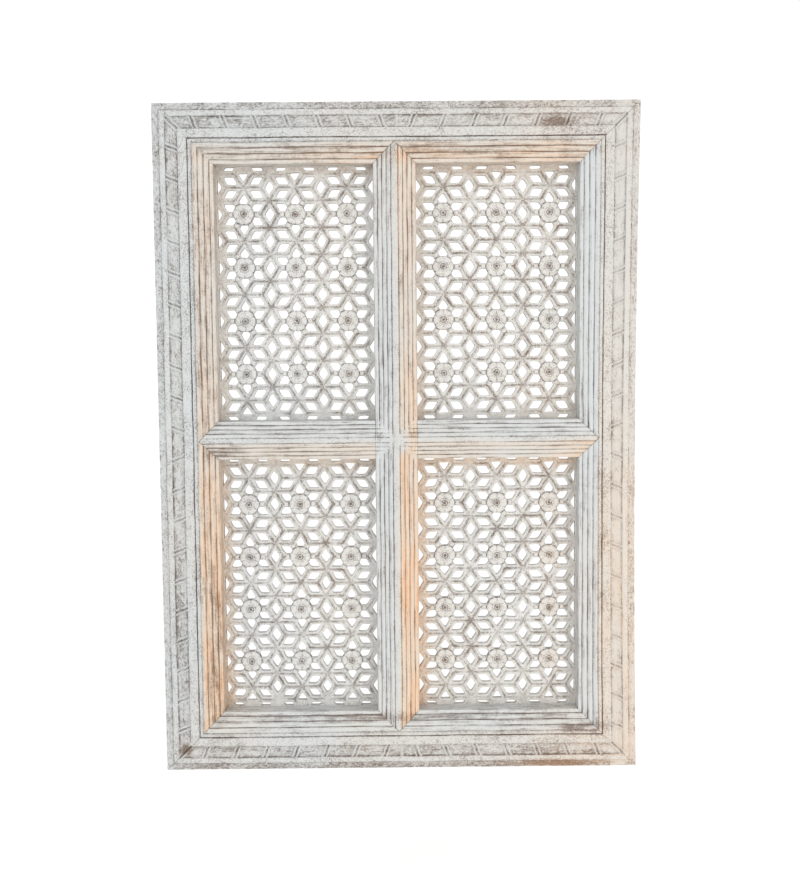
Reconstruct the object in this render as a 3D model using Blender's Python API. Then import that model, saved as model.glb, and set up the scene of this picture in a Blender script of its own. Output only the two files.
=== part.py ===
"""Carved wall panel: a mitred border and a cross hold four pierced lattice panes.

Metres, +Z up. The back lies on the plane Y = 0, the carved front faces -Y, and the
origin is the centre of the back.
"""

import math

import bmesh
import bpy
from mathutils import Vector
from mathutils.geometry import delaunay_2d_cdt

# Overall size
PANEL_W = 0.860
PANEL_H = 1.200
PANEL_T = 0.058

# Widths across a border board, from its outer edge inwards
MARGIN_W = 0.0135
OUTER_BEAD_W = 0.0105
BAND_W = 0.0210
INNER_BEAD_W = 0.0165
QUIRK_W = 0.0012
FILLET_W = 0.0058
REEDING_W = 0.0375

# How far each surface lies below the bead tops
EDGE_SINK = 0.0080
MARGIN_SINK = 0.0045
BAND_SINK = 0.0040
QUIRK_SINK = 0.0045
FILLET_SINK = 0.0010
REEDING_SINK = 0.0020
LIP_SINK = 0.0110
REED_GROOVE = 0.0022

# Reeding: the reed at a pane's edge is narrow, the others share the rest
REEDS = 4
EDGE_REED_W = 0.0072

# Cross members: the crossing stands a little to the left of the panel's middle and above it
MULLION_W = 0.075
RAIL_W = 0.069
MULLION_RIDGE_W = 0.013
RAIL_RIDGE_W = 0.010
MULLION_SHIFT = -0.0045
RAIL_SHIFT = 0.0040

# Slanted ribs in the border's sunk band
RIB_W = 0.0090
RIB_TOP_W = 0.0050
RIB_RISE = 0.0030
RIB_LEAN = 0.0090
RIB_FIRST = 0.0270
RIB_PITCH = 0.0550
RIB_END_CLEAR = 0.0250
RIB_ROOT = 0.0010

# Hollow worn in the right board's outer edge
EDGE_HOLLOW = 0.0060
EDGE_HOLLOW_STEPS = 8

# Rebate at the back for the lattice panes, and the fit of the joints
REBATE_W = 0.0090
LATTICE_T = 0.0120
LATTICE_BACK_SINK = 0.0020
FIT_GAP = 0.0003

# Lattice pattern: rhombic tiles between rows of stars, and flowers on every other star
STAR_COLUMNS = 6
STAR_ROWS = 9
SIDE_STRIP_W = 0.0015
END_STRIP_W = 0.0124
SLOT_EDGE_W = 0.0008
BAR_W = 0.0114
FLOWER_R = 0.0186
FLOWER_PETALS = 6
FLOWER_RISE = 0.0015
FLOWER_CROWN = 0.0010

# Colours of the washed wood
BORDER_COLOUR = (0.62, 0.58, 0.55)
CROSS_COLOUR = (0.66, 0.61, 0.56)
LATTICE_COLOUR = (0.68, 0.66, 0.63)

BORDER_W = MARGIN_W + OUTER_BEAD_W + BAND_W + INNER_BEAD_W + QUIRK_W + FILLET_W + REEDING_W
LIP_H = PANEL_T - LIP_SINK
REBATE_H = LATTICE_BACK_SINK + LATTICE_T + FIT_GAP
REEDING_SLOPE = (LIP_SINK - REEDING_SINK) / REEDING_W

# How far a cutter reaches past what it cuts, and distances taken as no distance
CUT_ROOM = 0.010
NEAR = 1e-6
MERGE_NEAR = 1e-7

# What the triangulation gives back: every triangle inside the outermost outline
WHOLE_HULL = 0


def clear_scene():
    for obj in list(bpy.data.objects):
        bpy.data.objects.remove(obj, do_unlink=True)


def washed_wood(name, colour):
    material = bpy.data.materials.new(name)
    material.use_nodes = True
    shader = material.node_tree.nodes["Principled BSDF"]
    shader.inputs["Base Color"].default_value = (*colour, 1.0)
    shader.inputs["Roughness"].default_value = 0.85
    shader.inputs["Metallic"].default_value = 0.0
    return material


def object_from_bmesh(name, bm, material=None):
    mesh = bpy.data.meshes.new(name)
    bm.to_mesh(mesh)
    bm.free()
    if material:
        mesh.materials.append(material)
    obj = bpy.data.objects.new(name, mesh)
    bpy.context.collection.objects.link(obj)
    return obj


def add_prism(bm, outline, sweep):
    """Add a closed prism: a flat outline of 3D points, swept along a vector."""
    base = bm.faces.new([bm.verts.new(point) for point in outline])
    swept = bmesh.ops.extrude_face_region(bm, geom=[base], use_keep_orig=True)["geom"]
    moved = [item for item in swept if isinstance(item, bmesh.types.BMVert)]
    bmesh.ops.translate(bm, verts=moved, vec=sweep)


def prisms(name, outlines, material=None):
    """One object holding a prism for each (outline, sweep)."""
    bm = bmesh.new()
    for outline, sweep in outlines:
        add_prism(bm, outline, Vector(sweep))
    bmesh.ops.recalc_face_normals(bm, faces=bm.faces)
    return object_from_bmesh(name, bm, material)


def tool_for(obj, name, outlines, operation):
    """Join or cut prisms with a board, in the board's own coordinates."""
    tool = prisms(name, outlines)
    tool.parent = obj
    tool.hide_render = True
    tool.display_type = "WIRE"
    boolean = obj.modifiers.new(name, "BOOLEAN")
    boolean.operation = operation
    boolean.solver = "EXACT"
    boolean.object = tool


def reeding(width):
    """Points (distance from the pane's edge, height) up a reeded slope of this width."""
    points = [(0.0, LIP_H)]
    reed_w = (width - EDGE_REED_W) / (REEDS - 1)
    start = 0.0
    for index in range(REEDS):
        end = start + (reed_w if index else EDGE_REED_W)
        crest = (start + end) / 2
        points.append((crest, LIP_H + REEDING_SLOPE * crest))
        points.append((end, LIP_H + REEDING_SLOPE * end - REED_GROOVE))
        start = end
    return points


def border_section():
    """Section of a border board as (distance from the outer edge, height)."""
    bead_in = MARGIN_W + OUTER_BEAD_W
    band_in = bead_in + BAND_W
    quirk_out = band_in + INNER_BEAD_W
    fillet_out = quirk_out + QUIRK_W
    fillet_in = fillet_out + FILLET_W
    section = [
        (0.0, 0.0),
        (BORDER_W - REBATE_W, 0.0),
        (BORDER_W - REBATE_W, REBATE_H),
        (BORDER_W, REBATE_H),
    ]
    section += [(BORDER_W - distance, height) for distance, height in reeding(REEDING_W)]
    section += [
        (fillet_in, PANEL_T - FILLET_SINK),
        (fillet_out, PANEL_T - FILLET_SINK),
        ((quirk_out + fillet_out) / 2, PANEL_T - QUIRK_SINK),
        (quirk_out, PANEL_T),
        (band_in, PANEL_T),
        (band_in, PANEL_T - BAND_SINK),
        (bead_in, PANEL_T - BAND_SINK),
        (bead_in, PANEL_T),
        (MARGIN_W, PANEL_T),
        (MARGIN_W, PANEL_T - MARGIN_SINK),
        (0.0, PANEL_T - EDGE_SINK),
    ]
    return section


def cross_section(width, ridge_w):
    """Section of a mullion or rail as (distance across from its middle, height)."""
    half = width / 2
    slope = [(half - distance, height) for distance, height in reeding(half - ridge_w / 2)]
    ridge = (ridge_w / 2, slope[-1][1] + REED_GROOVE)
    side = [(half - REBATE_W, 0.0), (half - REBATE_W, REBATE_H), (half, REBATE_H)]
    side += slope + [ridge]
    return side + [(-across, height) for across, height in reversed(side)]


def rib_plan(middle, lean, first, last):
    """Two ends of a rib's centre line as (place along the board, distance in)."""
    return (middle + lean / 2, first), (middle - lean / 2, last)


def rib_prism(start, end):
    """A rib of trapezoid section between two places in the band."""
    floor = PANEL_T - BAND_SINK
    levels = [(-RIB_W / 2, floor), (-RIB_TOP_W / 2, floor + RIB_RISE),
              (RIB_TOP_W / 2, floor + RIB_RISE), (RIB_W / 2, floor)]
    levels += [(RIB_W / 2, floor - RIB_ROOT), (-RIB_W / 2, floor - RIB_ROOT)]
    outline = [Vector((start[0] + across, -height, start[1])) for across, height in levels]
    return outline, (end[0] - start[0], 0.0, end[1] - start[1])


def band_ribs(length):
    """Ribs along one board: straight in the middle, then leaning out to both ends."""
    first = MARGIN_W + OUTER_BEAD_W
    last = first + BAND_W
    run = BAND_W + 2 * RIB_ROOT
    lean = RIB_LEAN * run / BAND_W
    reach = length / 2 - (first + last) / 2 - RIB_END_CLEAR
    ribs = [rib_plan(0.0, 0.0, first - RIB_ROOT, last + RIB_ROOT)]
    place = RIB_FIRST
    while place < reach:
        for side in (-1, 1):
            ribs.append(rib_plan(side * place, side * lean, first - RIB_ROOT, last + RIB_ROOT))
        place += RIB_PITCH
    corner = length / 2 - (first + last) / 2
    for side in (-1, 1):
        ribs.append(rib_plan(side * corner, side * run, first - RIB_ROOT, last + RIB_ROOT))
    return [rib_prism(start, end) for start, end in ribs]


def mitre_wedge(length, side):
    """Cutter that takes a board's end back to its mitre."""
    gap = FIT_GAP / math.sqrt(2)
    tip = length / 2 - gap
    depth = PANEL_T + 2 * CUT_ROOM
    corners = [(tip + CUT_ROOM, -CUT_ROOM), (length, -CUT_ROOM),
               (length, BORDER_W + CUT_ROOM), (tip - BORDER_W - CUT_ROOM, BORDER_W + CUT_ROOM)]
    outline = [Vector((side * along, CUT_ROOM, inward)) for along, inward in corners]
    return outline, (0.0, -depth, 0.0)


def notch_wedge(member_w, middle):
    """Cutter for the V notch that takes a cross member's point, at a place along the board."""
    gap = FIT_GAP / math.sqrt(2)
    tip = BORDER_W - member_w / 2 - gap
    half = member_w / 2 + gap + CUT_ROOM
    corners = [(middle, tip), (middle + half, tip + half), (middle - half, tip + half)]
    outline = [Vector((along, CUT_ROOM, inward)) for along, inward in corners]
    return outline, (0.0, -(PANEL_T + 2 * CUT_ROOM), 0.0)


def hollow_wedge(length):
    """Cutter that wears a shallow arc into a board's outer edge."""
    half = length / 2
    corners = []
    for step in range(EDGE_HOLLOW_STEPS + 1):
        along = -1 + 2 * step / EDGE_HOLLOW_STEPS
        corners.append((along * half, EDGE_HOLLOW * (1 - along * along)))
    corners += [(half, -CUT_ROOM), (-half, -CUT_ROOM)]
    outline = [Vector((along, CUT_ROOM, inward)) for along, inward in corners]
    return outline, (0.0, -(PANEL_T + 2 * CUT_ROOM), 0.0)


def border_board(name, length, member_w, middle, turn, place, material, hollow=False):
    """A border board: along X with its outer edge at Z = 0, then turned into place.

    The cross member of this width meets it at the middle given, a place along the board.
    """
    outline = [Vector((-length / 2, -height, inward)) for inward, height in border_section()]
    board = prisms(name, [(outline, (length, 0.0, 0.0))], material)
    tool_for(board, name + "_ribs", band_ribs(length), "UNION")
    cuts = [mitre_wedge(length, -1), mitre_wedge(length, 1), notch_wedge(member_w, middle)]
    tool_for(board, name + "_joints", cuts, "DIFFERENCE")
    if hollow:
        tool_for(board, name + "_worn_edge", [hollow_wedge(length)], "DIFFERENCE")
    board.rotation_euler = (0.0, turn, 0.0)
    board.location = place
    return board


def make_border():
    material = washed_wood("washed_border", BORDER_COLOUR)
    side, end = PANEL_W / 2, PANEL_H / 2
    border_board("border_bottom", PANEL_W, MULLION_W, MULLION_SHIFT, 0.0, (0.0, 0.0, -end),
                 material)
    border_board("border_top", PANEL_W, MULLION_W, -MULLION_SHIFT, math.pi, (0.0, 0.0, end),
                 material)
    border_board("border_left", PANEL_H, RAIL_W, -RAIL_SHIFT, math.pi / 2, (-side, 0.0, 0.0),
                 material)
    border_board("border_right", PANEL_H, RAIL_W, RAIL_SHIFT, -math.pi / 2, (side, 0.0, 0.0),
                 material, hollow=True)


def point_wedges(member_w, tip):
    """Two cutters that bring a member's end, towards +X, to a right-angled point."""
    gap = FIT_GAP / math.sqrt(2)
    half = member_w / 2 + CUT_ROOM
    wedges = []
    for side in (-1, 1):
        corners = [(tip - gap - half, side * half), (tip - gap, 0.0),
                   (tip + half, 0.0), (tip + half, side * half)]
        outline = [Vector((along, CUT_ROOM, across)) for along, across in corners]
        wedges.append((outline, (0.0, -(PANEL_T + 2 * CUT_ROOM), 0.0)))
    return wedges


def flipped(wedges):
    """The same cutters at the other end of a member."""
    return [([Vector((-p.x, p.y, p.z)) for p in outline], sweep) for outline, sweep in wedges]


def member_outline(section, start):
    return [Vector((start, -height, across)) for across, height in section]


def make_mullion(material):
    """The upright runs through; its middle carries the rails' section across it."""
    tip = PANEL_H / 2 - BORDER_W + MULLION_W / 2
    section = cross_section(MULLION_W, MULLION_RIDGE_W)
    mullion = prisms("mullion", [(member_outline(section, -tip), (2 * tip, 0.0, 0.0))], material)
    across = [Vector((RAIL_SHIFT + offset, -height, -MULLION_W / 2))
              for offset, height in cross_section(RAIL_W, RAIL_RIDGE_W)]
    tool_for(mullion, "mullion_crossing", [(across, (0.0, 0.0, MULLION_W))], "UNION")
    points = point_wedges(MULLION_W, tip)
    tool_for(mullion, "mullion_points", points + flipped(points), "DIFFERENCE")
    mullion.rotation_euler = (0.0, -math.pi / 2, 0.0)
    mullion.location = (MULLION_SHIFT, 0.0, 0.0)


def make_rail(name, side, material):
    """A half rail: square against the mullion, pointed into the border."""
    tip = PANEL_W / 2 - BORDER_W + RAIL_W / 2
    start = side * MULLION_SHIFT + MULLION_W / 2 + FIT_GAP
    section = cross_section(RAIL_W, RAIL_RIDGE_W)
    rail = prisms(name, [(member_outline(section, start), (tip - start, 0.0, 0.0))], material)
    tool_for(rail, name + "_point", point_wedges(RAIL_W, tip), "DIFFERENCE")
    rail.rotation_euler = (0.0, 0.0 if side > 0 else math.pi, 0.0)
    rail.location = (0.0, 0.0, RAIL_SHIFT)


def make_cross():
    material = washed_wood("washed_cross", CROSS_COLOUR)
    make_mullion(material)
    make_rail("rail_right", 1, material)
    make_rail("rail_left", -1, material)


def clipped(polygon, normal, limit):
    """The part of a convex polygon where point . normal stays within the limit."""
    kept = []
    for index, point in enumerate(polygon):
        previous = polygon[index - 1]
        over, over_previous = point.dot(normal) - limit, previous.dot(normal) - limit
        if min(over, over_previous) < -NEAR and max(over, over_previous) > NEAR:
            kept.append(previous.lerp(point, over_previous / (over_previous - over)))
        if over <= NEAR:
            kept.append(point)
    return kept


def star(column, row, pitch):
    """Place of a star in its pane; the pitch is the (x, z) step from star to star."""
    return Vector((column * pitch.x, row * pitch.y))


def is_full(column):
    """Whether a column has stars right up to both ends of the field."""
    return (column + STAR_COLUMNS // 2) % 2 == 0


def stars():
    """(column, row) of every star in a pane, rows counted from its middle."""
    for column in range(-(STAR_COLUMNS // 2), STAR_COLUMNS // 2 + 1):
        count = STAR_ROWS + 1 if is_full(column) else STAR_ROWS
        for index in range(count):
            yield column, index - (count - 1) / 2


def is_flower(column, row):
    """Flowers stand on every other star of the columns that stop short of the ends."""
    return not is_full(column) and int(row + STAR_ROWS / 2) % 2 == 1


def tile_corners(corner, pitch, kind, side, level):
    """A rhombic tile at a star: upright, or tilted to one side of it."""
    third = side * pitch.x / 3
    rise = level * pitch.y / 2
    if kind == "upright":
        steps = [(0, 0), (third, rise), (0, 2 * rise), (-third, rise)]
    else:
        steps = [(0, 0), (2 * third, 0), (3 * third, rise), (third, rise)]
    return [corner + Vector(step) for step in steps]


def tiles(pitch):
    """Every tile that opens in a pane, as (corners, kind)."""
    end_row = STAR_ROWS / 2
    for column, row in stars():
        corner = star(column, row, pitch)
        yield tile_corners(corner, pitch, "upright", 1, 1), "upright"
        if row - 1 < -end_row:
            yield tile_corners(corner, pitch, "upright", 1, -1), "upright"
        if is_full(column):
            for side in (-1, 1):
                if abs(column + side) <= STAR_COLUMNS / 2:
                    yield tile_corners(corner, pitch, "tilted", side, 1), "tilted"
                    yield tile_corners(corner, pitch, "tilted", side, -1), "tilted"


def blunted(corners, hole, kind, pitch):
    """Draw a hole's sharp corners back from the flowers that the tile touches."""
    blunt = list(hole)
    for place in (corners[0], corners[2]):
        column, row = round(place.x / pitch.x), round(2 * place.y / pitch.y) / 2
        if not is_flower(column, row):
            continue
        nearest = min(range(len(hole)), key=lambda number: (hole[number] - place).length)
        if kind == "upright":
            away = Vector((0.0, FLOWER_R if hole[nearest].y > place.y else -FLOWER_R))
        else:
            edge = hole[nearest] - place
            run = math.sqrt(FLOWER_R ** 2 - edge.y ** 2)
            away = Vector((math.copysign(run, edge.x), edge.y))
        blunt[nearest] = place + away
    return blunt


def counter_clockwise(polygon):
    area = sum(polygon[i - 1].cross(point) for i, point in enumerate(polygon))
    return polygon if area > 0 else polygon[::-1]


def lattice_holes(pitch, sight):
    """Outlines of a pane's holes: each tile drawn in by half a bar, within the field."""
    side_limit = pitch.x * STAR_COLUMNS / 2
    field_limit = pitch.y * STAR_ROWS / 2
    slot_limit = sight.y - SLOT_EDGE_W
    holes = []
    for corners, kind in tiles(pitch):
        middle = (corners[0] + corners[2]) / 2
        hole = corners
        for index, corner in enumerate(corners):
            edge = corner - corners[index - 1]
            normal = Vector((edge.y, -edge.x)).normalized()
            if normal.dot(corner - middle) < 0:
                normal = -normal
            hole = clipped(hole, normal, corner.dot(normal) - BAR_W / 2)
        if len(hole) < 4:
            continue
        hole = blunted(corners, hole, kind, pitch)
        end_limit = field_limit if kind == "upright" else slot_limit
        for normal, limit in (((1, 0), side_limit), ((-1, 0), side_limit),
                              ((0, 1), end_limit), ((0, -1), end_limit)):
            hole = clipped(hole, Vector(normal), limit) if hole else hole
        if len(hole) > 2:
            holes.append(counter_clockwise(hole))
    return holes


def lattice_flowers(pitch):
    """Outlines of the flowers, one corner to a petal."""
    turns = [2 * math.pi * petal / FLOWER_PETALS for petal in range(FLOWER_PETALS)]
    petals = [FLOWER_R * Vector((math.cos(turn), math.sin(turn))) for turn in turns]
    return [[star(column, row, pitch) + petal for petal in petals]
            for column, row in stars() if is_flower(column, row)]


def corners_of(faces):
    """Every corner of these faces, once."""
    return {corner for face in faces for corner in face.verts}


def lattice_mesh(name, sight, material):
    """A pierced plate with flowers raised on it; sight is half the opening, as (x, z)."""
    pitch = Vector((2 * (sight.x - SIDE_STRIP_W) / STAR_COLUMNS,
                    2 * (sight.y - END_STRIP_W) / STAR_ROWS))
    half_w = sight.x + REBATE_W - FIT_GAP
    half_h = sight.y + REBATE_W - FIT_GAP
    rim = [Vector(corner) for corner in ((-half_w, -half_h), (half_w, -half_h),
                                         (half_w, half_h), (-half_w, half_h))]
    holes = lattice_holes(pitch, sight)
    outlines = [rim] + holes + lattice_flowers(pitch)
    points, loops = [], []
    for outline in outlines:
        loops.append(range(len(points), len(points) + len(outline)))
        points += outline
    flat = delaunay_2d_cdt(points, [], loops, WHOLE_HULL, MERGE_NEAR)
    places, triangles, owners = flat[0], flat[2], flat[5]
    front = LATTICE_BACK_SINK + LATTICE_T
    bm = bmesh.new()
    corners = [bm.verts.new((place.x, -front, place.y)) for place in places]
    flowers = {}
    for triangle, owner in zip(triangles, owners):
        inner = max(owner)
        if 0 < inner <= len(holes):
            continue
        face = bm.faces.new([corners[index] for index in triangle])
        if inner > len(holes):
            flowers.setdefault(inner, []).append(face)
    petals = [corner.co.copy() for faces in flowers.values() for corner in corners_of(faces)]
    plate = bmesh.ops.extrude_face_region(bm, geom=list(bm.faces), use_keep_orig=True)["geom"]
    back = [item for item in plate if isinstance(item, bmesh.types.BMVert)]
    plain = [corner for corner in back
             if any((corner.co - petal).length < NEAR for petal in petals)]
    bmesh.ops.translate(bm, verts=back, vec=(0.0, LATTICE_T, 0.0))
    bmesh.ops.dissolve_verts(bm, verts=plain)
    for faces in flowers.values():
        disc = bmesh.ops.dissolve_faces(bm, faces=faces)["region"]
        raised = bmesh.ops.extrude_discrete_faces(bm, faces=disc)["faces"]
        bmesh.ops.translate(bm, verts=list(corners_of(raised)), vec=(0.0, -FLOWER_RISE, 0.0))
        crown = bmesh.ops.poke(bm, faces=raised)["verts"]
        bmesh.ops.translate(bm, verts=crown, vec=(0.0, -FLOWER_CROWN, 0.0))
    bmesh.ops.delete(bm, geom=[v for v in bm.verts if not v.link_faces], context="VERTS")
    bmesh.ops.recalc_face_normals(bm, faces=bm.faces)
    return object_from_bmesh(name, bm, material)


def make_lattices():
    material = washed_wood("washed_lattice", LATTICE_COLOUR)
    for name, side, level in (("lattice_upper_left", -1, 1), ("lattice_upper_right", 1, 1),
                              ("lattice_lower_left", -1, -1), ("lattice_lower_right", 1, -1)):
        inner = Vector((MULLION_SHIFT + side * MULLION_W / 2, RAIL_SHIFT + level * RAIL_W / 2))
        outer = Vector((side * (PANEL_W / 2 - BORDER_W), level * (PANEL_H / 2 - BORDER_W)))
        sight = (outer - inner) / 2
        pane = lattice_mesh(name, Vector((abs(sight.x), abs(sight.y))), material)
        middle = (inner + outer) / 2
        pane.location = (middle.x, 0.0, middle.y)


clear_scene()
make_border()
make_cross()
make_lattices()
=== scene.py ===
"""Looks of the carved wall panel: washed, worn wood, with moulded boards round four pierced panes.

Metres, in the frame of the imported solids: the back is the plane Y = 0, the carved front faces -Y.
"""

import math

import bmesh
import bpy
import numpy as np
from mathutils import Matrix, Vector, noise


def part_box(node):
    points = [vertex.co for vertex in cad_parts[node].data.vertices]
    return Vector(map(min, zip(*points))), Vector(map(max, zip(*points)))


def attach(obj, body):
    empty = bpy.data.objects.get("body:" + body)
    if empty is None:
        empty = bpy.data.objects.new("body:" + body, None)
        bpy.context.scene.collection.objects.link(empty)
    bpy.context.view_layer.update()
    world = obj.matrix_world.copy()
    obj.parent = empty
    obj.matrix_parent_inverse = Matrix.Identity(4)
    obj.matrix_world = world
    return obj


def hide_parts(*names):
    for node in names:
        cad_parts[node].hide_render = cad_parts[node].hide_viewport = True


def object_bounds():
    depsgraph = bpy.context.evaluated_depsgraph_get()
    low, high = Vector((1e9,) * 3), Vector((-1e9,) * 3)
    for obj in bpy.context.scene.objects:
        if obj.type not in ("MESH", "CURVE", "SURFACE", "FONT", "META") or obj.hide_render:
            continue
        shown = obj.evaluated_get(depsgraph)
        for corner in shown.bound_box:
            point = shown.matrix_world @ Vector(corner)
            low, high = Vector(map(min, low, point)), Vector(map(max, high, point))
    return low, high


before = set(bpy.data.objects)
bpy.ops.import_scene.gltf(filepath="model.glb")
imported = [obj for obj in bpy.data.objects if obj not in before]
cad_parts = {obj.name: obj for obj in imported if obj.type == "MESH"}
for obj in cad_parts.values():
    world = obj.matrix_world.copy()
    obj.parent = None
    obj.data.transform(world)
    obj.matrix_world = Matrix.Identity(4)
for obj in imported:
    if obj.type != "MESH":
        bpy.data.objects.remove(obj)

CAD_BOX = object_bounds()

MM = 0.001
NEAR = 1e-6

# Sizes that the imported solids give
PANEL_W = CAD_BOX[1].x - CAD_BOX[0].x
PANEL_H = CAD_BOX[1].z - CAD_BOX[0].z
PANEL_T = -CAD_BOX[0].y
MULLION_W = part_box("mullion")[1].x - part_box("mullion")[0].x
RAIL_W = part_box("rail_left")[1].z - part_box("rail_left")[0].z
BORDER_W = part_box("border_left")[1].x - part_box("border_left")[0].x
MULLION_X = (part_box("mullion")[1].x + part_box("mullion")[0].x) / 2
RAIL_Z = (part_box("rail_left")[1].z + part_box("rail_left")[0].z) / 2

# Widths across a border board, from its outer edge inwards; the reeding takes the rest
MARGIN_W = 0.0135
OUTER_BEAD_W = 0.0105
BAND_W = 0.0210
INNER_BEAD_W = 0.0165
QUIRK_W = 0.0012
FILLET_W = 0.0058
REEDING_W = BORDER_W - MARGIN_W - OUTER_BEAD_W - BAND_W - INNER_BEAD_W - QUIRK_W - FILLET_W

# How far each surface lies below the bead tops
EDGE_SINK = 0.0080
MARGIN_SINK = 0.0045
BAND_SINK = 0.0040
QUIRK_SINK = 0.0045
FILLET_SINK = 0.0010
REEDING_SINK = 0.0020
LIP_SINK = 0.0110
REED_GROOVE = 0.0022
LIP_H = PANEL_T - LIP_SINK
REEDING_SLOPE = (LIP_SINK - REEDING_SINK) / REEDING_W

# Reeding and the flat ridges of the cross
REEDS = 4
EDGE_REED_W = 0.0072
EDGE_GROOVE_SHARE = 0.3
REED_SHARES = (0.06, 0.16, 0.38, 0.62, 0.84, 0.94, 1.0)
MULLION_RIDGE_W = 0.013
RAIL_RIDGE_W = 0.010
RIDGE_GROOVE_W = 2 * MM

# Slanted double ribs in the sunk band
RIB_RISE = 0.0032
RIB_HALF_GAP = 0.0034
RIB_HALF_W = 0.0022
RIB_LEAN = 0.0090
RIB_FIRST = 0.0270
RIB_PITCH = 0.0550
RIB_END_CLEAR = 0.0250
RIB_SWAY = 0.0005
RIB_ROUND = 0.6
RIB_GAP_SHARE = 0.5
RIB_FOOT_SHARE = 1.4

# Rebate, joints and worn edges
REBATE_W = 0.0090
REBATE_H = 0.0143
FIT_GAP = 0.0003
EDGE_HOLLOW = 0.0060
ARRIS = 0.0005
JOINT_SINK = 0.0009
JOINT_FRONT = 5 * MM
MITRE_WEAR = 0.35
POINT_WEAR = 0.45
BUTT_WEAR = 0.25
LONG_STEP = 0.0020
WALL_SHARES = (0.0, 0.35, 0.7)
SHARP_ANGLE = math.radians(48)

# Lattice
LATTICE_T = 0.0120
LATTICE_BACK_SINK = 0.0020
STAR_COLUMNS = 6
STAR_ROWS = 9
SIDE_STRIP_W = 0.0015
END_STRIP_W = 0.0124
SLOT_EDGE_W = 0.0008
BAR_W = 0.0114
TILTED_STRETCH = 1.12
BAR_GROOVE = 0.0017
BAR_REACH = 0.0106
FLOWER_R = 0.0190
FLOWER_PETALS = 6
FLOWER_SIDES = 48
BLOCK_W = 0.0082
BLOCK_REACH = 0.0240
BLOCK_T = 4 * MM
BLOCK_RISE = 0.6 * MM
BLOCK_BEVEL = 0.9 * MM
UPRIGHT_SPARE = 1.5 * MM
TIP_REACH = 5 * MM
HOLE_SOFT = 0.30
TIP_SOFTER = 0.25
HOLE_ROUNDINGS = 3
HOLE_EDGE_CUTS = 6
BAR_CUTS = 4
WALL_CUTS = 2

# The two kinds of tile that are opened to a hole
UPRIGHT, TILTED = 1, 2

# Across a bar, by the share of its half-width: depth of the groove as a share, and bareness
BAR_SINK = [(0.0, 1.0), (0.2, 0.8), (0.4, 0.25), (0.6, 0.0), (0.8, 0.05), (1.0, 0.45)]
BAR_BARE = [(0.0, 0.54), (0.2, 0.48), (0.4, 0.28), (0.6, 0.12), (0.8, 0.12), (1.0, 0.18)]

# A flower, by its radius in mm: the rings cut into it, its rise in mm, and its bareness
FLOWER_RINGS = [18.0, 16.8, 15.0, 12.8, 10.8, 9.6, 8.9, 8.0, 6.8, 6.0, 5.2, 4.3, 2.8, 1.7, 1.0]
FLOWER_RISE = [(0.0, 0.7), (1.0, 0.7), (1.7, 1.9), (2.8, 2.1), (4.3, 1.9), (5.2, 0.9),
               (6.0, 1.7), (6.8, 2.1), (8.0, 2.0), (8.9, 1.1), (9.6, 1.6), (12.8, 2.2),
               (15.0, 2.1), (18.0, 1.1), (19.0, 0.2)]
FLOWER_BARE = [(0.0, 1.0), (1.0, 1.0), (2.0, 0.9), (3.6, 0.2), (4.6, 0.5), (5.2, 0.8),
               (5.8, 0.5), (8.2, 0.05), (8.9, 0.5), (9.8, 0.10), (17.0, 0.05), (19.0, 0.6)]
FLOWER_BACK_CLEAR = 0.2 * MM

# The partings between its petals, their depth in mm, and how far the rim draws in there
PARTING_W = 0.9 * MM
PARTING_FROM = 9 * MM
PARTING_DEPTH = 0.5
SCALLOP = 0.035

# Feature sizes of the noise, along a board, across it and in depth
RUN_SIZE = (60 * MM, 7 * MM, 1.0)
GRAIN_SIZE = (45 * MM, 1.6 * MM, 30 * MM)
PIT_SIZE = (5 * MM, 2.6 * MM, 6 * MM)
PATCH_SIZE = (70 * MM, 18 * MM, 40 * MM)
WAVER_SIZE = (60 * MM, 60 * MM, 1.0)
NICK_SIZE = (12 * MM, 1.0, 9 * MM)
GOUGE_SIZE = (7 * MM, 2.4 * MM, 1.0)
ROUGH_SIZE = (7 * MM, 3 * MM, 1.0)
GOUGE_TURN = np.array([[0.96, -0.28, 0.0], [0.28, 0.96, 0.0], [0.0, 0.0, 1.0]])

# Feature sizes of the noise, along X, Y and Z
WARMTH_SIZE = (160 * MM, 60 * MM, 220 * MM)
PANE_PIT_SIZE = (4 * MM, 4 * MM, 4 * MM)
PANE_BREAK_SIZE = (14 * MM, 14 * MM, 14 * MM)
PANE_PATCH_SIZE = (45 * MM, 45 * MM, 45 * MM)
BROAD_SHIFT_SIZE = (34 * MM, 1.0, 34 * MM)
FINE_SHIFT_SIZE = (11 * MM, 1.0, 11 * MM)

# How deep or how far hand work and wear go; the two shifts are in mm
GRAIN_DEPTH = 0.16 * MM
PIT_DEPTH = 0.14 * MM
WAVER = 0.45 * MM
NICK_DEPTH = 0.5 * MM
BAND_CUT = 0.5 * MM
MARGIN_ROUGH = 0.45 * MM
FLOWER_MOAT = 0.7 * MM
BROAD_SHIFT = 0.55
FINE_SHIFT = 0.28

# How bare a place is, from 0 for a whole wash to 1 for wood; in the band less of it counts
BACK_BARE = 0.80
SIDE_BARE = 0.22
HOLE_BARE = 0.15
JOINT_BARE = 0.90
REED_BARE = 0.10
GROOVE_BARE = 0.90
EDGE_GROOVE_BARE = 0.20
RIDGE_BARE = 0.06
RIDGE_GROOVE_BARE = 0.7
RIB_GAP_SHADE_AND_BARE = 0.85
RIB_FOOT_BARE = 0.65
BAND_SHARE = 0.75
RIB_TOP_WHOLE = 0.06
BLOCK_BARE = 0.12
BLOCK_SIDE_BARE = 0.75

# How far noise changes the bareness
RUN_WEAR = 0.45
GRAIN_WEAR = 0.24
PIT_WEAR = 0.10
PATCH_WEAR = 0.12
GOUGE_WEAR = 0.16
ROUGH_WEAR = 0.22
BAND_STREAKS = 0.6

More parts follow.
